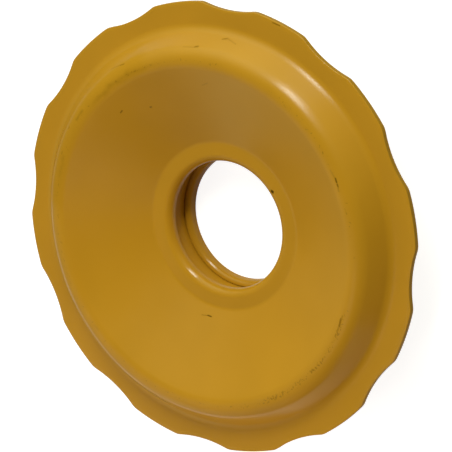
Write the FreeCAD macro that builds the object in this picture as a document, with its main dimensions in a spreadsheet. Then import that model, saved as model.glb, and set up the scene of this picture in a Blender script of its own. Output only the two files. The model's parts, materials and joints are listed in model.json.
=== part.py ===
import FreeCAD, Part
import math
import os
import Sketcher

# Roller ring of a packer roller: a pressed and dished steel disc with a notched rim, on a hub ring behind its
# bore. The hub ring takes the disc's drawn lip in a counterbore and is welded to the disc's back.
# Frame: millimetres. Z is the axis of the bore, z = 0 is the hub ring's end face and +Z is the dished side.
# A notch is centred on +X.

# Driving dimensions: name in the sheet, value, and what it measures.
SIZES = [
    ("outer_diameter", 600, "disc over the lands between the notches"),
    ("sheet_thickness", 8, "steel sheet of the disc"),
    ("notch_count", 12, "notches round the rim"),
    ("notch_depth", 7.8, "from the outer diameter in to the bottom of a notch"),
    ("notch_arc_radius", 160, "radius of a notch's hollow arc"),
    ("notch_corner_radius", 25, "rounding between a notch and a land"),
    ("flange_width", 27.3, "flat flange, from the outer diameter to the rim bend"),
    ("rim_bend_radius", 15, "inside radius between the flange and the slope"),
    ("slope_angle", 53.9, "slope of the shoulder above the flange, in degrees"),
    ("crest_height", 33.9, "top of the ridge above the flange's front face"),
    ("crest_bend_radius", 16.5, "inside radius of the ridge, on the back of the sheet"),
    ("seat_depth", 21.2, "flat seat round the bore below the flange's front face"),
    ("seat_bend_radius", 12, "inside radius between the cone and the seat"),
    ("seat_margin", 1, "flat seat left outside the weld"),
    ("lip_bend_radius", 2.8, "inside radius of the drawn lip, on the back of the sheet"),
    ("lip_straight", 3.5, "straight wall of the lip below its bend"),
    ("bore_diameter", 171.2, "bore of the lip and of the hub ring, for a 168.3 mm tube"),
    ("hub_length", 54.5, "hub ring along its axis"),
    ("hub_wall", 9, "wall of the hub ring outside its counterbore"),
    ("lip_clearance", 1.25, "radial gap between the lip and the counterbore"),
    ("step_thickness", 16, "end of the hub ring that has the bore's own diameter"),
    ("step_round", 7.8, "rounding of that end towards the counterbore"),
    ("relief_width", 1.3, "groove in the counterbore's corner, across"),
    ("relief_depth", 1.8, "groove in the counterbore's corner, below the step"),
    ("hub_edge_chamfer", 1, "chamfers of the hub ring's end face"),
    ("weld_leg", 5, "leg of the fillet weld between the hub ring and the disc"),
]

START, END, CENTRE = 1, 2, 3
ROOT_POINT = (-1, 1)

doc = FreeCAD.newDocument("roller_ring")
sheet = doc.addObject("Spreadsheet::Sheet", "Sizes")
for row, (alias, value, meaning) in enumerate(SIZES, start=1):
    sheet.set(f"A{row}", meaning)
    sheet.set(f"B{row}", str(value))
    sheet.setAlias(f"B{row}", alias)
doc.recompute()

# The same lengths as expressions, for the constraints.
BORE_RADIUS = "Sizes.bore_diameter / 2"
OUTER_RADIUS = "Sizes.outer_diameter / 2"
LIP_OUTER_RADIUS = f"{BORE_RADIUS} + Sizes.sheet_thickness"
COUNTERBORE_RADIUS = f"{LIP_OUTER_RADIUS} + Sizes.lip_clearance"
HUB_RADIUS = f"{COUNTERBORE_RADIUS} + Sizes.hub_wall"
SEAT_RADIUS = f"{HUB_RADIUS} + Sizes.weld_leg + Sizes.seat_margin"
FLANGE_FRONT = "Sizes.hub_length + Sizes.sheet_thickness + Sizes.seat_depth"


def size(alias):
    """A driving dimension, as the sheet has it."""
    return float(getattr(sheet, alias))


def point(x, y):
    """A point of a sketch."""
    return FreeCAD.Vector(x, y, 0)


def origin_feature(body, role):
    """One of a body's own planes or axes."""
    for feature in body.Origin.OriginFeatures:
        if feature.Role == role:
            return feature
    raise RuntimeError(f"{body.Label} has no {role}")


def new_body(label):
    """A body in the part's own place."""
    body = doc.addObject("PartDesign::Body", label)
    body.Label = label
    body.Placement = FreeCAD.Placement()
    return body


def new_sketch(body, name, plane):
    """A sketch on one of the body's own planes."""
    sketch = body.newObject("Sketcher::SketchObject", name)
    sketch.AttachmentSupport = [(origin_feature(body, plane), "")]
    sketch.MapMode = "FlatFace"
    return sketch


def add_line(sketch, start, end):
    """A straight edge. Returns its number in the sketch."""
    return sketch.addGeometry(Part.LineSegment(start, end), False)


def add_arc(sketch, centre, radius, low_deg, high_deg):
    """An arc, counter-clockwise from the low to the high angle. Returns its number in the sketch."""
    circle = Part.Circle(centre, FreeCAD.Vector(0, 0, 1), radius)
    return sketch.addGeometry(Part.ArcOfCircle(circle, math.radians(low_deg), math.radians(high_deg)), False)


def relate(sketch, kind, *places):
    """A geometric constraint."""
    sketch.addConstraint(Sketcher.Constraint(kind, *places))


def measure(sketch, kind, name, value, expression, *places):
    """A named dimension that follows an expression of the sheet."""
    number = sketch.addConstraint(Sketcher.Constraint(kind, *places, value))
    sketch.renameConstraint(number, name)
    sketch.setExpression(f"Constraints.{name}", expression)


def join(sketch, edges):
    """Joins the end of each edge to the start of the next one."""
    for edge, following in zip(edges, edges[1:]):
        relate(sketch, "Coincident", edge, END, following, START)


def check_sketch(sketch):
    """Stops if a sketch's dimensions contradict each other, repeat each other or leave it loose."""
    solved = sketch.solve()
    if solved != 0 or not sketch.FullyConstrained:
        raise RuntimeError(f"{sketch.Label} doesn't solve: {solved}, fully held: {sketch.FullyConstrained}")


def revolve(body, sketch, name):
    """A full turn of a sketch about the bore's axis."""
    check_sketch(sketch)
    turn = body.newObject("PartDesign::Revolution", name)
    turn.Profile = sketch
    turn.ReferenceAxis = (sketch, ["V_Axis"])
    turn.Angle = 360
    doc.recompute()
    return turn


def tangent_angle(across, up, radius_sum):
    """Slope, in degrees, of the line that touches a convex and a hollow arc on opposite sides.

    across and up lead from the convex arc's centre to the hollow one's.
    """
    distance = math.hypot(across, up)
    return math.degrees(math.asin(radius_sum / distance) - math.atan2(up, across))


def sheet_section(sketch):
    """The disc's section: the front face from the rim to the lip, and the back face one sheet behind it."""
    thickness = size("sheet_thickness")
    outer_x = size("outer_diameter") / 2
    bore_x = size("bore_diameter") / 2
    counterbore_x = bore_x + thickness + size("lip_clearance")
    seat_x = counterbore_x + size("hub_wall") + size("weld_leg") + size("seat_margin")
    flange_y = size("hub_length") + thickness + size("seat_depth")
    seat_y = flange_y - size("seat_depth")

    # Front radii of the four bends. The ridge and the lip are bent over their backs.
    rim_r = size("rim_bend_radius")
    crest_r = size("crest_bend_radius") + thickness
    seat_r = size("seat_bend_radius")
    lip_r = size("lip_bend_radius") + thickness

    slope = size("slope_angle")
    slope_rad = math.radians(slope)
    rise = size("crest_height") - rim_r - crest_r
    shoulder = (rim_r + crest_r + rise * math.cos(slope_rad)) / math.sin(slope_rad)
    rim_centre = point(outer_x - size("flange_width"), flange_y + rim_r)
    crest_centre = point(rim_centre.x - shoulder, flange_y + size("crest_height") - crest_r)
    seat_centre = point(seat_x, seat_y + seat_r)
    lip_centre = point(bore_x + lip_r, seat_y - lip_r)
    lip_end_y = lip_centre.y - size("lip_straight")
    across = crest_centre.x - seat_centre.x
    cone = tangent_angle(across, seat_centre.y - crest_centre.y, crest_r + seat_r)

    # Each bend: its centre, its radius on the front, which way the back lies from it, and its angles.
    hollow, convex = 1, -1
    bends = [
        (rim_centre, rim_r, hollow, 270 - slope, 270),
        (crest_centre, crest_r, convex, 90 - slope, 90 + cone),
        (seat_centre, seat_r, hollow, 270, 270 + cone),
        (lip_centre, lip_r, convex, 90, 180),
    ]

    def face(offset):
        """One face of the sheet, offset towards the back. Returns its lines and its arcs from rim to lip."""
        lines = []
        arcs = []
        last = point(outer_x, flange_y - offset)
        for centre, radius, side, low, high in bends:
            reach = radius + side * offset
            arc = add_arc(sketch, centre, reach, low, high)
            first_angle, second_angle = (high, low) if side == hollow else (low, high)
            ends = []
            for angle in (first_angle, second_angle):
                turn = math.radians(angle)
                ends.append(point(centre.x + reach * math.cos(turn), centre.y + reach * math.sin(turn)))
            lines.append(add_line(sketch, last, ends[0]))
            arcs.append(arc)
            last = ends[1]
        lines.append(add_line(sketch, last, point(bore_x + offset, lip_end_y)))
        for number, (_, _, side, _, _) in enumerate(bends):
            enter, leave = (END, START) if side == hollow else (START, END)
            relate(sketch, "Tangent", lines[number], END, arcs[number], enter)
            relate(sketch, "Tangent", arcs[number], leave, lines[number + 1], START)
        return lines, arcs

    front, front_arcs = face(0)
    back, back_arcs = face(thickness)
    rim_edge = add_line(sketch, point(outer_x, flange_y), point(outer_x, flange_y - thickness))
    lip_edge = add_line(sketch, point(bore_x, lip_end_y), point(bore_x + thickness, lip_end_y))
    relate(sketch, "Coincident", rim_edge, START, front[0], START)
    relate(sketch, "Coincident", rim_edge, END, back[0], START)
    relate(sketch, "Coincident", lip_edge, START, front[-1], END)
    relate(sketch, "Coincident", lip_edge, END, back[-1], END)

    for front_arc, back_arc in zip(front_arcs, back_arcs):
        relate(sketch, "Coincident", front_arc, CENTRE, back_arc, CENTRE)
    for lines in (front, back):
        relate(sketch, "Horizontal", lines[0])
        relate(sketch, "Horizontal", lines[3])
        relate(sketch, "Vertical", lines[4])
    relate(sketch, "Parallel", front[1], back[1])
    relate(sketch, "Parallel", front[2], back[2])
    relate(sketch, "Vertical", rim_edge)
    relate(sketch, "Horizontal", lip_edge)

    rim_arc, crest_arc, seat_arc, lip_arc = front_arcs
    measure(sketch, "DistanceX", "outer", outer_x, OUTER_RADIUS, *ROOT_POINT, rim_edge, START)
    measure(sketch, "DistanceY", "flange", flange_y, FLANGE_FRONT, *ROOT_POINT, rim_edge, START)
    measure(sketch, "DistanceY", "thickness", thickness, "Sizes.sheet_thickness",
            rim_edge, END, rim_edge, START)
    measure(sketch, "DistanceX", "flange_width", size("flange_width"), "Sizes.flange_width",
            front[0], END, front[0], START)
    measure(sketch, "Radius", "rim_bend", rim_r, "Sizes.rim_bend_radius", rim_arc)
    measure(sketch, "Angle", "slope", math.pi - slope_rad, "(180 - Sizes.slope_angle) * 1 deg", front[1])
    measure(sketch, "Radius", "crest_bend", size("crest_bend_radius"), "Sizes.crest_bend_radius",
            back_arcs[1])
    measure(sketch, "DistanceY", "crest_centre", crest_centre.y,
            f"{FLANGE_FRONT} + Sizes.crest_height - Sizes.sheet_thickness - Sizes.crest_bend_radius",
            *ROOT_POINT, crest_arc, CENTRE)
    measure(sketch, "Radius", "seat_bend", seat_r, "Sizes.seat_bend_radius", seat_arc)
    measure(sketch, "DistanceX", "seat", seat_x, SEAT_RADIUS, *ROOT_POINT, seat_arc, CENTRE)
    measure(sketch, "DistanceY", "seat_height", seat_y, "Sizes.hub_length + Sizes.sheet_thickness",
            *ROOT_POINT, front[3], START)
    measure(sketch, "Radius", "lip_bend", size("lip_bend_radius"), "Sizes.lip_bend_radius", back_arcs[3])
    measure(sketch, "DistanceX", "bore", bore_x, BORE_RADIUS, *ROOT_POINT, lip_edge, START)
    measure(sketch, "DistanceY", "lip_straight", size("lip_straight"), "Sizes.lip_straight",
            front[4], END, front[4], START)


def pressed_disc():
    """The dished disc: the sheet's section turned about the axis, with notches cut round its rim."""
    body = new_body("pressed_disc")
    section = new_sketch(body, "disc_section", "XZ_Plane")
    sheet_section(section)
    turned = revolve(body, section, "disc_turn")
    whole = turned.Shape.Volume

    notch_sketch = new_sketch(body, "notch_circle", "XY_Plane")
    centre_x = size("outer_diameter") / 2 - size("notch_depth") + size("notch_arc_radius")
    circle = Part.Circle(point(centre_x, 0), FreeCAD.Vector(0, 0, 1), size("notch_arc_radius"))
    notch_circle = notch_sketch.addGeometry(circle, False)
    relate(notch_sketch, "PointOnObject", notch_circle, CENTRE, -1)
    measure(notch_sketch, "Radius", "arc", size("notch_arc_radius"), "Sizes.notch_arc_radius", notch_circle)
    measure(notch_sketch, "DistanceX", "centre", centre_x,
            f"{OUTER_RADIUS} - Sizes.notch_depth + Sizes.notch_arc_radius", *ROOT_POINT, notch_circle, CENTRE)

    notch = body.newObject("PartDesign::Pocket", "notch")
    notch.Profile = notch_sketch
    notch.Type = "ThroughAll"
    notch.Reversed = True
    doc.recompute()
    one_notch = whole - notch.Shape.Volume

    notches = body.newObject("PartDesign::PolarPattern", "notches")
    notches.Originals = [notch]
    notches.Axis = (origin_feature(body, "Z_Axis"), [""])
    notches.Angle = 360
    notches.Occurrences = int(size("notch_count"))
    notches.setExpression("Occurrences", "Sizes.notch_count")
    body.Tip = notches
    doc.recompute()
    cut = whole - notches.Shape.Volume
    if one_notch <= 0 or not math.isclose(cut, one_notch * size("notch_count"), rel_tol=1e-3):
        raise RuntimeError("the notches don't cut the rim")

    corners = body.newObject("PartDesign::Fillet", "notch_corners")
    corners.Base = (notches, upright_edges(notches.Shape))
    corners.Radius = size("notch_corner_radius")
    corners.setExpression("Radius", "Sizes.notch_corner_radius")
    body.Tip = corners
    doc.recompute()
    return body


def upright_edges(shape):
    """Names of the edges along the axis where a notch meets a land."""
    outer = size("outer_diameter") / 2
    names = []
    for number, edge in enumerate(shape.Edges, start=1):
        if len(edge.Vertexes) != 2 or edge.Curve.TypeId != "Part::GeomLine":
            continue
        low, high = (vertex.Point for vertex in edge.Vertexes)
        upright = math.hypot(low.x - high.x, low.y - high.y) < 1e-6
        on_rim = math.isclose(math.hypot(low.x, low.y), outer, abs_tol=1e-4)
        on_seam = math.isclose(low.y, 0, abs_tol=1e-4)
        if upright and on_rim and not on_seam:
            names.append(f"Edge{number}")
    return names


def hub_ring():
    """The ring behind the disc: a counterbore for the lip, and an end stepped in to the bore's diameter."""
    body = new_body("hub_ring")
    section = new_sketch(body, "hub_section", "XZ_Plane")
    bore_x = size("bore_diameter") / 2
    counterbore_x = bore_x + size("sheet_thickness") + size("lip_clearance")
    outer_x = counterbore_x + size("hub_wall")
    length = size("hub_length")
    step_y = size("step_thickness")
    round_r = size("step_round")
    chamfer = size("hub_edge_chamfer")
    entry = size("lip_bend_radius")

    relief_x = counterbore_x - size("relief_width")
    relief_y = step_y - size("relief_depth")

    corners = [
        point(bore_x + chamfer, 0),
        point(outer_x - chamfer, 0),
        point(outer_x, chamfer),
        point(outer_x, length),
        point(counterbore_x + entry, length),
        point(counterbore_x, length - entry),
        point(counterbore_x, relief_y),
        point(relief_x, relief_y),
        point(relief_x, step_y),
        point(bore_x + round_r, step_y),
    ]
    edges = []
    for start, end in zip(corners, corners[1:]):
        edges.append(add_line(section, start, end))
    step_arc = add_arc(section, point(bore_x + round_r, step_y - round_r), round_r, 90, 180)
    bore_edge = add_line(section, point(bore_x, step_y - round_r), point(bore_x, chamfer))
    bore_chamfer = add_line(section, point(bore_x, chamfer), corners[0])
    end_face, outer_chamfer, outer_wall, front_face, entry_bevel, counterbore = edges[:6]
    relief_floor, relief_wall, step_face = edges[6:]

    join(section, edges)
    relate(section, "Tangent", step_face, END, step_arc, START)
    relate(section, "Tangent", step_arc, END, bore_edge, START)
    join(section, [bore_edge, bore_chamfer, end_face])
    for edge in (end_face, front_face, relief_floor, step_face):
        relate(section, "Horizontal", edge)
    for edge in (outer_wall, counterbore, relief_wall, bore_edge):
        relate(section, "Vertical", edge)

    relate(section, "PointOnObject", end_face, START, -1)
    measure(section, "DistanceX", "bore", bore_x, BORE_RADIUS, *ROOT_POINT, bore_edge, START)
    measure(section, "DistanceX", "counterbore", counterbore_x, COUNTERBORE_RADIUS,
            *ROOT_POINT, counterbore, START)
    measure(section, "DistanceX", "outer", outer_x, HUB_RADIUS, *ROOT_POINT, outer_wall, START)
    measure(section, "DistanceY", "length", length, "Sizes.hub_length", *ROOT_POINT, front_face, START)
    measure(section, "DistanceY", "step", step_y, "Sizes.step_thickness", *ROOT_POINT, step_face, START)
    measure(section, "Radius", "step_round", round_r, "Sizes.step_round", step_arc)
    measure(section, "DistanceX", "relief_width", size("relief_width"), "Sizes.relief_width",
            relief_floor, END, relief_floor, START)
    measure(section, "DistanceY", "relief_depth", size("relief_depth"), "Sizes.relief_depth",
            relief_wall, START, relief_wall, END)
    for axis in ("DistanceX", "DistanceY"):
        measure(section, axis, f"outer_chamfer_{axis[-1]}", chamfer, "Sizes.hub_edge_chamfer",
                outer_chamfer, START, outer_chamfer, END)
        measure(section, axis, f"entry_{axis[-1]}", entry, "Sizes.lip_bend_radius",
                entry_bevel, END, entry_bevel, START)
    measure(section, "DistanceX", "bore_chamfer_X", chamfer, "Sizes.hub_edge_chamfer",
            bore_chamfer, START, bore_chamfer, END)
    measure(section, "DistanceY", "bore_chamfer_Y", chamfer, "Sizes.hub_edge_chamfer",
            bore_chamfer, END, bore_chamfer, START)

    revolve(body, section, "hub_turn")
    return body


def hub_weld():
    """The fillet weld in the corner between the hub ring's wall and the disc's back."""
    body = new_body("hub_weld")
    section = new_sketch(body, "weld_section", "XZ_Plane")
    leg = size("weld_leg")
    hub_x = size("bore_diameter") / 2 + size("sheet_thickness") + size("lip_clearance") + size("hub_wall")
    top_y = size("hub_length")
    root = point(hub_x, top_y)
    level_toe = point(hub_x + leg, top_y)
    upright_toe = point(hub_x, top_y - leg)
    level = add_line(section, root, level_toe)
    bead_face = add_line(section, level_toe, upright_toe)
    upright = add_line(section, upright_toe, root)
    join(section, [level, bead_face, upright, level])
    relate(section, "Horizontal", level)
    relate(section, "Vertical", upright)
    measure(section, "DistanceX", "wall", hub_x, HUB_RADIUS, *ROOT_POINT, level, START)
    measure(section, "DistanceY", "top", top_y, "Sizes.hub_length", *ROOT_POINT, level, START)
    measure(section, "DistanceX", "level_leg", leg, "Sizes.weld_leg", level, START, level, END)
    measure(section, "DistanceY", "upright_leg", leg, "Sizes.weld_leg", upright, START, upright, END)
    revolve(body, section, "weld_turn")
    return body


def check_document():
    """Stops if an object of the document has failed."""
    for item in doc.Objects:
        if "Invalid" in item.State or "Error" in item.State:
            raise RuntimeError(f"{item.Name} failed: {item.State}")


def write_parts(bodies):
    """Writes each sub-part to its own file, once all of them are sound."""
    for body in bodies:
        if body.Shape.isNull() or not body.Shape.isValid() or len(body.Shape.Solids) != 1:
            raise RuntimeError(f"{body.Label} is not one valid solid")
    os.makedirs("parts", exist_ok=True)
    for body in bodies:
        body.Shape.exportStep(f"parts/{body.Label}.step")
        box = body.Shape.optimalBoundingBox(False, False)
        print(f"{body.Label}: {body.Shape.Volume / 1000:.1f} cm3, z {box.ZMin:.2f} to {box.ZMax:.2f}, "
              f"x {box.XMin:.2f} to {box.XMax:.2f}")


parts = [pressed_disc(), hub_ring(), hub_weld()]
doc.recompute()
check_document()
write_parts(parts)
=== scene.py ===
import json
import math

import bmesh
import bpy
from mathutils import Matrix, Vector


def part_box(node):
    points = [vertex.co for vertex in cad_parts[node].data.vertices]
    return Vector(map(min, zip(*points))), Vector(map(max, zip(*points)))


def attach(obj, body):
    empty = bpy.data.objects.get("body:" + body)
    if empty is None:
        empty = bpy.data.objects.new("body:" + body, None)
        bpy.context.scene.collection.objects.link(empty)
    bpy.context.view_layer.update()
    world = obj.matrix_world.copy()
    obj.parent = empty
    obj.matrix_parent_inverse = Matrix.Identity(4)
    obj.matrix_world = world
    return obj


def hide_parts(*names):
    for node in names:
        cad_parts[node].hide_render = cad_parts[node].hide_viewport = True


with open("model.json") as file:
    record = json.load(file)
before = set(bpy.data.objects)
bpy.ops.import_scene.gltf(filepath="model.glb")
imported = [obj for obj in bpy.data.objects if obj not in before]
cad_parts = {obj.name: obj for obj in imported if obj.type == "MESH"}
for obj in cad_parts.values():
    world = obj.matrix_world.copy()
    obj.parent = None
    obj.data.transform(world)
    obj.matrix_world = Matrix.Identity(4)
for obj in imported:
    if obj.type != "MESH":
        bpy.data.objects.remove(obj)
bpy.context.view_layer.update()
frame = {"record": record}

MM = 0.001

# Sizes that the frame gives.
DISC_LOW, DISC_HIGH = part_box("pressed_disc")
HUB_LOW, HUB_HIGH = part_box("hub_ring")
WELD_LOW, WELD_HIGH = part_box("hub_weld")
BORE_RADIUS = frame["record"]["mounts"][0]["dims"]["r_mm"] * MM
CREST_TOP = DISC_HIGH.z
LIP_END = DISC_LOW.z
HUB_LENGTH = HUB_HIGH.z
HUB_RADIUS = HUB_HIGH.x
WELD_LEG = HUB_LENGTH - WELD_LOW.z

# Sizes of the pressed disc, as in the part's source.
OUTER_RADIUS = 300 * MM
SHEET = 8 * MM
NOTCH_COUNT = 12
NOTCH_DEPTH = 7.8 * MM
NOTCH_ARC_RADIUS = 160 * MM
NOTCH_CORNER_RADIUS = 25 * MM
FLANGE_WIDTH = 27.3 * MM
RIM_BEND = 15 * MM
SLOPE_ANGLE = math.radians(53.9)
CREST_HEIGHT = 33.9 * MM
CREST_BEND = 24.5 * MM
SEAT_BEND = 12 * MM
LIP_BEND = 10.8 * MM
SHEARED_EDGE = 0.7 * MM
SEAT_FRONT = HUB_LENGTH + SHEET
FLANGE_FRONT = CREST_TOP - CREST_HEIGHT
SEAT_RADIUS = WELD_HIGH.x + 1 * MM

# Sizes of the hub ring, as in the part's source.
COUNTERBORE_RADIUS = HUB_RADIUS - 9 * MM
STEP_HEIGHT = 16 * MM
STEP_ROUND = 7.8 * MM
RELIEF_WIDTH = 1.3 * MM
RELIEF_DEPTH = 1.8 * MM
HUB_CHAMFER = 1 * MM
ENTRY_CHAMFER = LIP_BEND - SHEET

# The weld bead's ripples.
RIPPLE_COUNT = 220
RIPPLE_HEIGHT = 0.35 * MM
RIPPLE_TRAIL = 2.5

# How finely the surfaces are divided: round the axis, then along each stretch of a section.
NOTCH_STEPS = 56
HUB_STEPS = 360
RIPPLE_STEPS = 8
RIM_BEND_STEPS = 12
CREST_STEPS = 20
CONE_STEPS = 12
SEAT_BEND_STEPS = 8
LIP_STEPS = 12
FLANGE_STEPS = 5
STEP_ROUND_STEPS = 12
BEAD_STEPS = 6
SHORT_STEPS = 3

# The angles in degrees above which the edges of the turned pieces stay sharp.
HUB_SHARP_ANGLE = 30
BEAD_SHARP_ANGLE = 60

# The camera, as fitted to the photograph.
IMAGE_SIDE = 452
FOCAL_PIXELS = 2693.5
SENSOR = 36
CAMERA_AZIMUTH = 270.727
CAMERA_ELEVATION = 53.394
CAMERA_ROLL = math.radians(112.234)
CAMERA_DISTANCE = 3488.6 * MM
CAMERA_AIM = Vector((-0.5 * MM, -19.6 * MM, FLANGE_FRONT))
CAMERA_REACH = 50

# The paint's colours, and how much shows of the painted shade on the rim's sheared edge and on one
# stretch of the ridge.
PAINT_DARKER = (0.480, 0.237, 0.0135, 1)
PAINT_LIGHTER = (0.508, 0.251, 0.0145, 1)
WORN_COLOUR = (0.085, 0.040, 0.0005, 1)
RIM_EDGE_SHADE_COLOUR = (0.14, 0.09, 0.004, 1)
RIM_EDGE_SHADE_SHARE = 0.42
RIDGE_SHADE_COLOUR = (0.12, 0.075, 0.004, 1)
RIDGE_SHADE_SHARE = 0.08

# The paint's roughness, its shine, what marks and dull places change in them, and its orange peel.
ROUGH_LEAST = 0.19
ROUGH_MOST = 0.25
SEAT_ROUGH_SHARE = 0.6
WORN_ROUGHER = 0.15
SHINE = 0.32
SHINE_LEAST = 0.02
WORN_SHINE_LOSS = 0.6
DULL_SHINE_LOSS = 0.85
PEEL_STRENGTH = 0.06
PEEL_HEIGHT = 0.5 * MM

# Marks in the paint: radius and angle of one end and of the other, width, and how dark.
MARKS = [
    (94.3, 281.9, 94.9, 280.9, 4.4, 1.0),
    (195.8, 16.8, 196.3, 15.5, 1.9, 0.65),
    (179.5, 4.5, 179.3, 3.9, 2.6, 0.6),
    (125.5, 144.3, 125.5, 146.7, 1.8, 0.85),
    (127.7, 140.4, 125.7, 144.3, 1.4, 0.35),
    (228.8, 271.3, 228.2, 270.1, 2.8, 0.8),
    (228.1, 269.4, 227.8, 268.6, 2.4, 0.65),
    (226.7, 274.3, 228.3, 271.6, 1.8, 0.25),
    (227.8, 268.6, 226.1, 267.3, 1.8, 0.3),
    (225.8, 224.4, 227.2, 221.9, 3.2, 0.55),
    (226.7, 225.6, 227.3, 220.3, 2.6, 0.3),
    (227.4, 218.7, 227.8, 218.0, 2.4, 0.35),
    (257.5, 329.4, 259.2, 328.1, 2.0, 0.4),
    (259.2, 328.1, 256.3, 324.6, 1.6, 0.2),
    (246.1, 336.7, 246.9, 335.6, 2.2, 0.45),
    (245.9, 340.9, 245.7, 337.0, 1.8, 0.15),
    (244.8, 5.5, 243.5, 3.7, 1.9, 0.4),
    (248.1, 9.8, 245.1, 5.7, 1.8, 0.15),
    (297.3, 316.5, 297.8, 314.5, 1.8, 0.6),
    (196.2, 335.1, 200.1, 332.5, 2.0, 0.2),
    (239.6, 34.8, 239.9, 35.4, 2.0, 0.3),
    (235.0, 43.6, 235.2, 44.4, 2.2, 0.35),
]

# Soft smears of dirt on the ridge, in the same form.
SMEARS = [
    (228.0, 352.0, 229.0, 2.5, 8.0, 0.17),
    (229.0, 2.5, 229.5, 12.5, 10.0, 0.24),
    (227.0, 13.5, 227.8, 21.0, 8.0, 0.18),
    (233.8, 26.5, 234.3, 30.5, 5.0, 0.36),
    (230.5, 44.5, 230.0, 52.0, 10.0, 0.2),
    (226.8, 107.0, 228.6, 105.4, 5.0, 0.2),
]

# Specks rubbed through along the ridge: their radius, how dark they are, and the angle about which dirt
# clings, with its reach either way in degrees.
RUB_RADIUS = 229.4 * MM
RUB_DARKNESS = 0.45
DIRT_ANGLE = 200
DIRT_REACH = 32
DIRT_CORE = DIRT_REACH * 0.4

# Painted shade on one stretch of the ridge, darker and duller: its radius, its angle and its reach
# either way, in full and fading out.
RIDGE_SHADE_RADIUS = 236 * MM
RIDGE_SHADE_HALF_WIDTH = 18 * MM
RIDGE_SHADE_CORE_HALF_WIDTH = 10 * MM
RIDGE_SHADE_ANGLE = 29
RIDGE_SHADE_REACH = 36
RIDGE_SHADE_CORE = RIDGE_SHADE_REACH - 5

# Lamps: name, azimuth, elevation, distance, width, height, lean, power, colour, and whether the gloss
# shows them.
KEY_COLOUR = (1.0, 1.0, 0.9)
FILL_COLOUR = (1.0, 0.877, 0.85)
LAMPS = [
    ("key", 320, 37, 2.5, 0.62, 1.9, 13, 20.5, KEY_COLOUR, True),
    ("key_middle", 321, 41, 2.5, 0.36, 0.9, 13, 13.5, KEY_COLOUR, True),
    ("back", 150, 65, 1.3, 0.47, 0.47, 0, 2.1, FILL_COLOUR, False),
    ("far", 105, 40, 1.3, 0.47, 0.47, 0, 2.1, FILL_COLOUR, False),
    ("low_back", 140, 18, 1.3, 0.73, 0.73, 0, 2.4, FILL_COLOUR, False),
    ("low_left", 190, 12, 1.3, 0.5, 0.5, 0, 3.0, FILL_COLOUR, False),
]

# Surroundings: azimuth, elevation, tightness and brightness of each bright side, and their colour.
WORLD_COLOUR = (1.0, 1.09, 0.68, 1)
WORLD_SIDES = [
    (345, 25, 6, 1.47),
    (330, 0, 2, 0.52),
    (90, 0, 2, 0.18),
    (100, 25, 5, 0.27),
    (114, 12, 60, 0.55),
    (30, 15, 6, 0.15),
]

# The floor: half its side, its grey as a source and as seen, its own glow as seen, and how much of that
# whiteness reflections show.
FLOOR_HALF = 6.0
FLOOR_GREY = (0.7, 0.7, 0.7, 1)
FLOOR_SEEN_GREY = (0.5, 0.5, 0.5, 1)
FLOOR_GLOW = 0.85
FLOOR_MIRRORED = 0.15


def rim_radius(angle):
    """Radius of the notched rim at an angle, with a notch centred on angle 0."""
    pitch = math.tau / NOTCH_COUNT
    turn = abs((angle + pitch / 2) % pitch - pitch / 2)
    notch_centre = OUTER_RADIUS - NOTCH_DEPTH + NOTCH_ARC_RADIUS
    corner_centre = OUTER_RADIUS - NOTCH_CORNER_RADIUS
    between = NOTCH_ARC_RADIUS + NOTCH_CORNER_RADIUS
    squares = corner_centre ** 2 + notch_centre ** 2 - between ** 2
    land_start = math.acos(squares / (2 * corner_centre * notch_centre))
    corner = Vector((corner_centre * math.cos(land_start), corner_centre * math.sin(land_start)))
    touch = corner + (Vector((notch_centre, 0)) - corner) * NOTCH_CORNER_RADIUS / between
    notch_end = math.atan2(touch.y, touch.x)
    if turn < notch_end:
        across = notch_centre * math.sin(turn)
        return notch_centre * math.cos(turn) - math.sqrt(NOTCH_ARC_RADIUS ** 2 - across ** 2)
    if turn < land_start:
        across = corner_centre * math.sin(turn - land_start)
        along = corner_centre * math.cos(turn - land_start)
        return along + math.sqrt(NOTCH_CORNER_RADIUS ** 2 - across ** 2)
    return OUTER_RADIUS


def arc_points(centre, radius, start, end, steps):
    """Points of an arc in the section, as (distance from the axis, height)."""
    points = []
    for step in range(steps + 1):
        turn = start + (end - start) * step / steps
        points.append((centre[0] + radius * math.cos(turn), centre[1] + radius * math.sin(turn)))
    return points


def straight_points(start, end, steps):
    """Points between two places of the section, without the places themselves."""
    points = []
    for step in range(1, steps):
        share = step / steps
        across = start[0] + (end[0] - start[0]) * share
        points.append((across, start[1] + (end[1] - start[1]) * share))
    return points


def tangent_angle(across, up, radius_sum):
    """Slope of the line that touches a convex and a hollow arc on opposite sides."""
    return math.asin(radius_sum / math.hypot(across, up)) - math.atan2(up, across)


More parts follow.
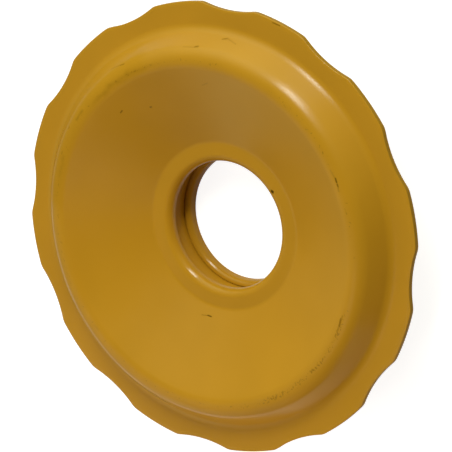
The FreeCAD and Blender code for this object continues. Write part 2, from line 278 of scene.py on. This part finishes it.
def disc_face(offset):
    """One face of the disc's sheet from the rim bend to the lip's end, offset towards the back."""
    rise = CREST_HEIGHT - RIM_BEND - CREST_BEND
    shoulder = (RIM_BEND + CREST_BEND + rise * math.cos(SLOPE_ANGLE)) / math.sin(SLOPE_ANGLE)
    rim_centre = (OUTER_RADIUS - FLANGE_WIDTH, FLANGE_FRONT + RIM_BEND)
    crest_centre = (rim_centre[0] - shoulder, CREST_TOP - CREST_BEND)
    seat_centre = (SEAT_RADIUS, SEAT_FRONT + SEAT_BEND)
    lip_centre = (BORE_RADIUS + LIP_BEND, SEAT_FRONT - LIP_BEND)
    across = crest_centre[0] - seat_centre[0]
    cone = tangent_angle(across, seat_centre[1] - crest_centre[1], CREST_BEND + SEAT_BEND)
    up = math.pi / 2
    down = 3 * up
    rim = arc_points(rim_centre, RIM_BEND + offset, down, down - SLOPE_ANGLE, RIM_BEND_STEPS)
    crest = arc_points(crest_centre, CREST_BEND - offset, up - SLOPE_ANGLE, up + cone, CREST_STEPS)
    seat = arc_points(seat_centre, SEAT_BEND + offset, down + cone, down, SEAT_BEND_STEPS)
    lip = arc_points(lip_centre, LIP_BEND - offset, up, math.pi, LIP_STEPS)
    points = rim + straight_points(rim[-1], crest[0], SHORT_STEPS)
    points += crest + straight_points(crest[-1], seat[0], CONE_STEPS)
    return points + seat + straight_points(seat[-1], lip[0], SHORT_STEPS) + lip


def unbent(radius, height, angle):
    """A turned surface without change round the axis."""
    return radius, height


def turned_piece(name, section, steps, bend=unbent):
    """A closed surface: a closed section carried round the axis, with its points moved by bend."""
    mesh = bpy.data.meshes.new(name)
    count = len(section)
    vertices = []
    faces = []
    for turn in range(steps):
        angle = math.tau * turn / steps
        for point in section:
            radius, height = bend(point[0], point[1], angle)
            vertices.append((radius * math.cos(angle), radius * math.sin(angle), height))
        here = turn * count
        there = ((turn + 1) % steps) * count
        for step in range(count):
            after = (step + 1) % count
            faces.append((here + step, there + step, there + after, here + after))
    mesh.from_pydata(vertices, [], faces)
    mesh.validate()
    work = bmesh.new()
    work.from_mesh(mesh)
    bmesh.ops.recalc_face_normals(work, faces=work.faces)
    work.to_mesh(mesh)
    work.free()
    for face in mesh.polygons:
        face.use_smooth = True
    piece = bpy.data.objects.new(name, mesh)
    bpy.context.scene.collection.objects.link(piece)
    return piece


def sharpen(piece, degrees):
    """Keeps the edges of a smooth piece sharp where its faces meet at more than an angle."""
    piece.data.set_sharp_from_angle(angle=math.radians(degrees))


def rounded_edge(corners, start):
    """The two rounded corners of a sheared edge, from an angle on, half a turn in all."""
    points = []
    for number, corner in enumerate(corners):
        turn = start + number * math.pi / 2
        points += arc_points(corner, SHEARED_EDGE, turn, turn + math.pi / 2, SHORT_STEPS)
    return points


def make_disc():
    """The pressed disc, with its sheared edges rounded."""
    flange_start = OUTER_RADIUS - FLANGE_WIDTH
    front = disc_face(0)
    back = disc_face(SHEET)
    rim_in = OUTER_RADIUS - SHEARED_EDGE
    rim_low = (rim_in, FLANGE_FRONT - SHEET + SHEARED_EDGE)
    rim_top = (rim_in, FLANGE_FRONT - SHEARED_EDGE)
    rim_edge = rounded_edge((rim_low, rim_top), -math.pi / 2)
    lip_low = LIP_END + SHEARED_EDGE
    lip_in = (BORE_RADIUS + SHEARED_EDGE, lip_low)
    lip_out = (BORE_RADIUS + SHEET - SHEARED_EDGE, lip_low)
    lip_edge = rounded_edge((lip_in, lip_out), math.pi)
    section = rim_edge + straight_points(rim_edge[-1], front[0], FLANGE_STEPS) + front
    section += lip_edge + back[::-1] + straight_points(back[0], rim_edge[0], FLANGE_STEPS)

    def notched(radius, height, angle):
        if radius <= flange_start:
            return radius, height
        share = (radius - flange_start) / FLANGE_WIDTH
        return flange_start + share * (rim_radius(angle) - flange_start), height

    return turned_piece("disc_sheet", section, NOTCH_COUNT * NOTCH_STEPS, notched)


def make_hub():
    """The hub ring, with its counterbore, the groove in its corner and the rounded step."""
    section = [
        (BORE_RADIUS + HUB_CHAMFER, HUB_LOW.z),
        (HUB_RADIUS - HUB_CHAMFER, HUB_LOW.z),
        (HUB_RADIUS, HUB_LOW.z + HUB_CHAMFER),
        (HUB_RADIUS, HUB_LENGTH),
        (COUNTERBORE_RADIUS + ENTRY_CHAMFER, HUB_LENGTH),
        (COUNTERBORE_RADIUS, HUB_LENGTH - ENTRY_CHAMFER),
        (COUNTERBORE_RADIUS, STEP_HEIGHT - RELIEF_DEPTH),
        (COUNTERBORE_RADIUS - RELIEF_WIDTH, STEP_HEIGHT - RELIEF_DEPTH),
        (COUNTERBORE_RADIUS - RELIEF_WIDTH, STEP_HEIGHT),
    ]
    round_centre = (BORE_RADIUS + STEP_ROUND, STEP_HEIGHT - STEP_ROUND)
    section += arc_points(round_centre, STEP_ROUND, math.pi / 2, math.pi, STEP_ROUND_STEPS)
    section += [(BORE_RADIUS, HUB_LOW.z + HUB_CHAMFER)]
    hub = turned_piece("hub_body", section, HUB_STEPS)
    sharpen(hub, HUB_SHARP_ANGLE)
    return hub


def make_weld():
    """The fillet weld's bead, with its ripples."""
    corner = (HUB_RADIUS, HUB_LENGTH)
    level_toe = (HUB_RADIUS + WELD_LEG, HUB_LENGTH)
    upright_toe = (HUB_RADIUS, HUB_LENGTH - WELD_LEG)
    bead_face = straight_points(level_toe, upright_toe, BEAD_STEPS)
    section = [corner, level_toe] + bead_face + [upright_toe]

    def rippled(radius, height, angle):
        share = (radius - HUB_RADIUS) / WELD_LEG
        depth = (HUB_LENGTH - height) / WELD_LEG
        at_corner = share + depth < 0.5
        if at_corner:
            return radius, height
        swell = math.sin(math.pi * share)
        wave = math.cos(RIPPLE_COUNT * angle + RIPPLE_TRAIL * swell)
        move = RIPPLE_HEIGHT * swell * wave / math.sqrt(2)
        return radius + move, height - move

    bead = turned_piece("weld_bead", section, RIPPLE_COUNT * RIPPLE_STEPS, rippled)
    sharpen(bead, BEAD_SHARP_ANGLE)
    return bead


def add_node(tree, kind, inputs=None, **settings):
    """A node, with its settings and with its inputs linked or set."""
    made = tree.nodes.new(kind)
    for name, value in settings.items():
        setattr(made, name, value)
    for name, value in (inputs or {}).items():
        if isinstance(value, bpy.types.NodeSocket):
            tree.links.new(value, made.inputs[name])
        else:
            made.inputs[name].default_value = value
    return made


def calculate(tree, operation, *values):
    """The result of a sum over sockets and numbers."""
    return add_node(tree, "ShaderNodeMath", dict(enumerate(values)), operation=operation).outputs[0]


def combine(tree, operation, first, *others):
    """The result of a sum of two, carried on over any number of sockets and numbers."""
    result = first
    for other in others:
        result = calculate(tree, operation, result, other)
    return result


def vector_step(tree, operation, first, second):
    """A node that works on two vectors."""
    return add_node(tree, "ShaderNodeVectorMath", {0: first, 1: second}, operation=operation)


def ramp(tree, value, low, high, to_low=0.0, to_high=1.0):
    """A soft step from one value to another."""
    inputs = {"Value": value, "From Min": low, "From Max": high, "To Min": to_low, "To Max": to_high}
    made = add_node(tree, "ShaderNodeMapRange", inputs, interpolation_type="SMOOTHSTEP")
    return made.outputs["Result"]


def noise(tree, place, scale, detail):
    """Even noise, about a half."""
    inputs = {"Vector": place, "Scale": scale, "Detail": detail, "Roughness": 0.5}
    return add_node(tree, "ShaderNodeTexNoise", inputs).outputs["Fac"]


def centred_noise(tree, place, scale, detail, spread):
    """Even noise, about zero, with a spread."""
    return calculate(tree, "MULTIPLY_ADD", noise(tree, place, scale, detail), spread, -spread / 2)


def blend(tree, share, first, second):
    """A mix of two colours."""
    mix = add_node(tree, "ShaderNodeMix", data_type="RGBA")
    sockets = [item for item in mix.inputs if item.enabled]
    for socket, value in zip(sockets, (share, first, second)):
        if isinstance(value, bpy.types.NodeSocket):
            tree.links.new(value, socket)
        else:
            socket.default_value = value
    return [item for item in mix.outputs if item.enabled][0]


def off_radius(tree, radius, middle):
    """How far a place lies from a radius, inside or outside it."""
    return calculate(tree, "ABSOLUTE", calculate(tree, "SUBTRACT", radius, middle))


def off_angle(tree, angle, degrees):
    """How far a place lies from an angle, either way round."""
    turned = calculate(tree, "SUBTRACT", angle, math.radians(degrees))
    return calculate(tree, "ABSOLUTE", calculate(tree, "WRAP", turned, math.pi, -math.pi))


def mark_end(radius, degrees):
    """One end of a mark, seen along the axis."""
    turn = math.radians(degrees)
    return Vector((math.cos(turn), math.sin(turn), 0)) * radius * MM


def mark_cover(tree, flat, marks, uneven, core):
    """How much marks cover the paint at a place seen along the axis, fading out from their core."""
    cover = None
    for radius, angle, other_radius, other_angle, width, darkness in marks:
        start = mark_end(radius, angle)
        stroke = mark_end(other_radius, other_angle) - start
        per_length = stroke / stroke.length_squared
        there = vector_step(tree, "SUBTRACT", flat, tuple(start)).outputs["Vector"]
        along = vector_step(tree, "DOT_PRODUCT", there, tuple(per_length)).outputs["Value"]
        along = calculate(tree, "MINIMUM", calculate(tree, "MAXIMUM", along, 0.0), 1.0)
        inputs = {0: tuple(stroke), "Scale": along}
        nearest = add_node(tree, "ShaderNodeVectorMath", inputs, operation="SCALE").outputs["Vector"]
        away = vector_step(tree, "DISTANCE", there, nearest).outputs["Value"]
        away = calculate(tree, "MULTIPLY_ADD", away, 2 / (width * MM), uneven)
        spot = ramp(tree, away, 1.3, core, 0.0, darkness)
        cover = spot if cover is None else calculate(tree, "MAXIMUM", cover, spot)
    return cover


def rub_cover(tree, place, radius, angle):
    """Specks rubbed through along the ridge, thicker where dirt clings."""
    ridge = ramp(tree, off_radius(tree, radius, RUB_RADIUS), 6.5 * MM, 0.5 * MM)
    away = off_angle(tree, angle, DIRT_ANGLE)
    dirty = ramp(tree, away, math.radians(DIRT_REACH), math.radians(DIRT_CORE))
    needed = calculate(tree, "MULTIPLY_ADD", dirty, -0.10, 0.72)
    grain = calculate(tree, "MULTIPLY_ADD", ridge, 0.12, noise(tree, place, 300.0, 3.0))
    grain = calculate(tree, "ADD", grain, centred_noise(tree, place, 30.0, 2.0, 0.25))
    specks = ramp(tree, calculate(tree, "SUBTRACT", grain, needed), 0.0, 0.12)
    return combine(tree, "MULTIPLY", specks, ridge, RUB_DARKNESS)


def ridge_shade_cover(tree, radius, angle):
    """Painted shade that darkens and dulls one stretch of the ridge."""
    away = off_radius(tree, radius, RIDGE_SHADE_RADIUS)
    across = ramp(tree, away, RIDGE_SHADE_HALF_WIDTH, RIDGE_SHADE_CORE_HALF_WIDTH)
    away = off_angle(tree, angle, RIDGE_SHADE_ANGLE)
    along = ramp(tree, away, math.radians(RIDGE_SHADE_REACH), math.radians(RIDGE_SHADE_CORE))
    return calculate(tree, "MULTIPLY", across, along)


def recess_cover(tree, height, radius):
    """Where the recess behind the lip is, which the paint leaves dull."""
    outward = ramp(tree, radius, COUNTERBORE_RADIUS - 0.6 * MM, COUNTERBORE_RADIUS - 0.3 * MM)
    inward = ramp(tree, radius, COUNTERBORE_RADIUS + 1.5 * MM, COUNTERBORE_RADIUS + 0.5 * MM)
    below = ramp(tree, height, HUB_LENGTH + 1 * MM, HUB_LENGTH)
    return combine(tree, "MULTIPLY", outward, inward, below)


def rim_edge_shade_cover(tree, height, radius):
    """Where the sheared edge of the rim is, which gets painted shade: a darker colour and less shine.
    """
    flange_back = FLANGE_FRONT - SHEET
    below = ramp(tree, height, FLANGE_FRONT - 0.2 * MM, FLANGE_FRONT - 1.0 * MM)
    above = ramp(tree, height, flange_back + 0.2 * MM, flange_back + 1.0 * MM)
    outward = ramp(tree, radius, OUTER_RADIUS - 2 * NOTCH_DEPTH, OUTER_RADIUS - 1.5 * NOTCH_DEPTH)
    return combine(tree, "MULTIPLY", below, above, outward)


def make_paint():
    """Gloss golden yellow paint with small marks and specks, and painted shade on the rim's sheared
    edge and on one stretch of the ridge.
    """
    material = bpy.data.materials.new("yellow_paint")
    material.use_nodes = True
    tree = material.node_tree
    shader = tree.nodes["Principled BSDF"]
    texture = add_node(tree, "ShaderNodeTexCoord")
    place = texture.outputs["Object"]
    facing = add_node(tree, "ShaderNodeSeparateXYZ", {"Vector": texture.outputs["Normal"]})
    parts = add_node(tree, "ShaderNodeSeparateXYZ", {"Vector": place})
    side, depth, height = (parts.outputs[name] for name in "XYZ")
    flat = add_node(tree, "ShaderNodeCombineXYZ", {"X": side, "Y": depth}).outputs["Vector"]
    radius = add_node(tree, "ShaderNodeVectorMath", {0: flat}, operation="LENGTH").outputs["Value"]
    angle = calculate(tree, "ARCTAN2", depth, side)

    # Painted shade on one stretch of the ridge.
    ridge_shade = ridge_shade_cover(tree, radius, angle)
    # Painted shade on the rim's sheared edge.
    rim_edge = rim_edge_shade_cover(tree, height, radius)
    ragged = centred_noise(tree, place, 600.0, 2.0, 0.9)
    patchy = centred_noise(tree, place, 90.0, 2.0, 3.0)
    marks = mark_cover(tree, flat, MARKS, ragged, 0.4)
    smears = mark_cover(tree, flat, SMEARS, patchy, -0.9)
    worn = combine(tree, "MAXIMUM", marks, smears, rub_cover(tree, place, radius, angle))
    looks_up = ramp(tree, facing.outputs["Z"], 0.05, 0.2)
    worn = calculate(tree, "MULTIPLY", worn, looks_up)

    cloud = ramp(tree, noise(tree, place, 9.0, 2.0), 0.3, 0.7)
    colour = blend(tree, cloud, PAINT_DARKER, PAINT_LIGHTER)
    # Painted shade: the rim's sheared edge is darkened towards an olive brown.
    rim_edge_shade_share = calculate(tree, "MULTIPLY", rim_edge, RIM_EDGE_SHADE_SHARE)
    colour = blend(tree, rim_edge_shade_share, colour, RIM_EDGE_SHADE_COLOUR)
    # Painted shade: one stretch of the ridge is darkened a little.
    ridge_shade_share = calculate(tree, "MULTIPLY", ridge_shade, RIDGE_SHADE_SHARE)
    colour = blend(tree, ridge_shade_share, colour, RIDGE_SHADE_COLOUR)
    colour = blend(tree, worn, colour, WORN_COLOUR)
    tree.links.new(colour, shader.inputs["Base Color"])

    gloss = ramp(tree, noise(tree, place, 25.0, 3.0), 0.3, 0.7, ROUGH_LEAST, ROUGH_MOST)
    smoother = ramp(tree, radius, 100 * MM, 115 * MM, SEAT_ROUGH_SHARE, 1.0)
    gloss = calculate(tree, "MULTIPLY", gloss, smoother)
    roughness = calculate(tree, "MULTIPLY_ADD", worn, WORN_ROUGHER, gloss)
    tree.links.new(roughness, shader.inputs["Roughness"])

    shine = calculate(tree, "MULTIPLY_ADD", worn, -WORN_SHINE_LOSS, SHINE)
    shine = calculate(tree, "MAXIMUM", shine, SHINE_LEAST)
    # The recess loses shine, and so do the rim's edge and the ridge stretch that carry painted shade.
    dull = combine(tree, "MAXIMUM", recess_cover(tree, height, radius), rim_edge, ridge_shade)
    kept = calculate(tree, "MULTIPLY_ADD", dull, -DULL_SHINE_LOSS, 1.0)
    tree.links.new(calculate(tree, "MULTIPLY", shine, kept), shader.inputs["Specular IOR Level"])

    peel = noise(tree, place, 160.0, 2.0)
    inputs = {"Height": peel, "Strength": PEEL_STRENGTH, "Distance": PEEL_HEIGHT}
    bump = add_node(tree, "ShaderNodeBump", inputs)
    tree.links.new(bump.outputs["Normal"], shader.inputs["Normal"])
    return material


def make_floor():
    """The pale floor: white to the eye and in part in reflections, with the object's shadow."""
    corners = [(-1, -1), (1, -1), (1, 1), (-1, 1)]
    places = [(across * FLOOR_HALF, along * FLOOR_HALF, 0) for across, along in corners]
    mesh = bpy.data.meshes.new("floor")
    mesh.from_pydata(places, [], [(0, 1, 2, 3)])
    floor = bpy.data.objects.new("floor", mesh)
    bpy.context.scene.collection.objects.link(floor)
    material = bpy.data.materials.new("floor_white")
    material.use_nodes = True
    tree = material.node_tree
    tree.nodes.remove(tree.nodes["Principled BSDF"])
    grey = add_node(tree, "ShaderNodeBsdfDiffuse", {"Color": FLOOR_GREY})
    seen_grey = add_node(tree, "ShaderNodeBsdfDiffuse", {"Color": FLOOR_SEEN_GREY})
    glow = add_node(tree, "ShaderNodeEmission", {"Color": (1, 1, 1, 1), "Strength": FLOOR_GLOW})
    white = add_node(tree, "ShaderNodeAddShader", {0: seen_grey.outputs[0], 1: glow.outputs[0]})
    path = add_node(tree, "ShaderNodeLightPath").outputs
    mirrored = calculate(tree, "MAXIMUM", path["Is Glossy Ray"], path["Is Transmission Ray"])
    seen = calculate(tree, "MULTIPLY_ADD", mirrored, FLOOR_MIRRORED, path["Is Camera Ray"])
    mixed = add_node(tree, "ShaderNodeMixShader", {0: seen, 1: grey.outputs[0], 2: white.outputs[0]})
    tree.links.new(mixed.outputs[0], tree.nodes["Material Output"].inputs["Surface"])
    mesh.materials.append(material)


def pointing(azimuth, elevation):
    """The direction from the ring at an azimuth and an elevation in degrees."""
    turn, rise = math.radians(azimuth), math.radians(elevation)
    level = math.cos(rise)
    return Vector((level * math.cos(turn), level * math.sin(turn), math.sin(rise)))


def make_camera():
    """The camera at the photograph's angle."""
    out = pointing(CAMERA_AZIMUTH, CAMERA_ELEVATION)
    camera = bpy.data.objects.new("camera", bpy.data.cameras.new("camera"))
    bpy.context.scene.collection.objects.link(camera)
    camera.location = CAMERA_AIM + out * CAMERA_DISTANCE
    level = out.to_track_quat("Z", "Y").to_matrix().to_4x4()
    camera.rotation_euler = (level @ Matrix.Rotation(-CAMERA_ROLL, 4, "Z")).to_euler()
    camera.data.sensor_width = SENSOR
    camera.data.lens = SENSOR * FOCAL_PIXELS / IMAGE_SIDE
    camera.data.clip_end = CAMERA_REACH
    bpy.context.scene.camera = camera


def make_lamp(name, azimuth, elevation, distance, width, height, lean, power, colour, mirrored):
    """An area lamp that looks at the ring's middle, with its top leaning towards a larger azimuth."""
    data = bpy.data.lights.new(name, "AREA")
    data.shape = "RECTANGLE"
    data.size = width
    data.size_y = height
    data.energy = power
    data.color = colour
    lamp = bpy.data.objects.new(name, data)
    bpy.context.scene.collection.objects.link(lamp)
    lamp.visible_camera = False
    lamp.visible_glossy = mirrored
    lamp.location = pointing(azimuth, elevation) * distance
    level = (-lamp.location).to_track_quat("-Z", "Y").to_matrix().to_4x4()
    lamp.rotation_euler = (level @ Matrix.Rotation(math.radians(-lean), 4, "Z")).to_euler()


def make_world():
    """Dim surroundings with soft bright sides."""
    world = bpy.data.worlds.new("studio")
    bpy.context.scene.world = world
    world.use_nodes = True
    tree = world.node_tree
    direction = add_node(tree, "ShaderNodeTexCoord").outputs["Generated"]
    level = 0.0
    for azimuth, elevation, tightness, brightness in WORLD_SIDES:
        side = tuple(pointing(azimuth, elevation))
        facing = vector_step(tree, "DOT_PRODUCT", direction, side).outputs["Value"]
        facing = calculate(tree, "POWER", calculate(tree, "MAXIMUM", facing, 0.0), tightness)
        level = calculate(tree, "MULTIPLY_ADD", facing, brightness, level)
    background = tree.nodes["Background"]
    background.inputs["Color"].default_value = WORLD_COLOUR
    tree.links.new(level, background.inputs["Strength"])


paint = make_paint()
for make, node in ((make_disc, "pressed_disc"), (make_hub, "hub_ring"), (make_weld, "hub_weld")):
    piece = make()
    piece.data.materials.append(paint)
    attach(piece, "root")
    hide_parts(node)

make_floor()
make_camera()
make_world()
for lamp in LAMPS:
    make_lamp(*lamp)
bpy.context.scene.view_settings.view_transform = "Standard"
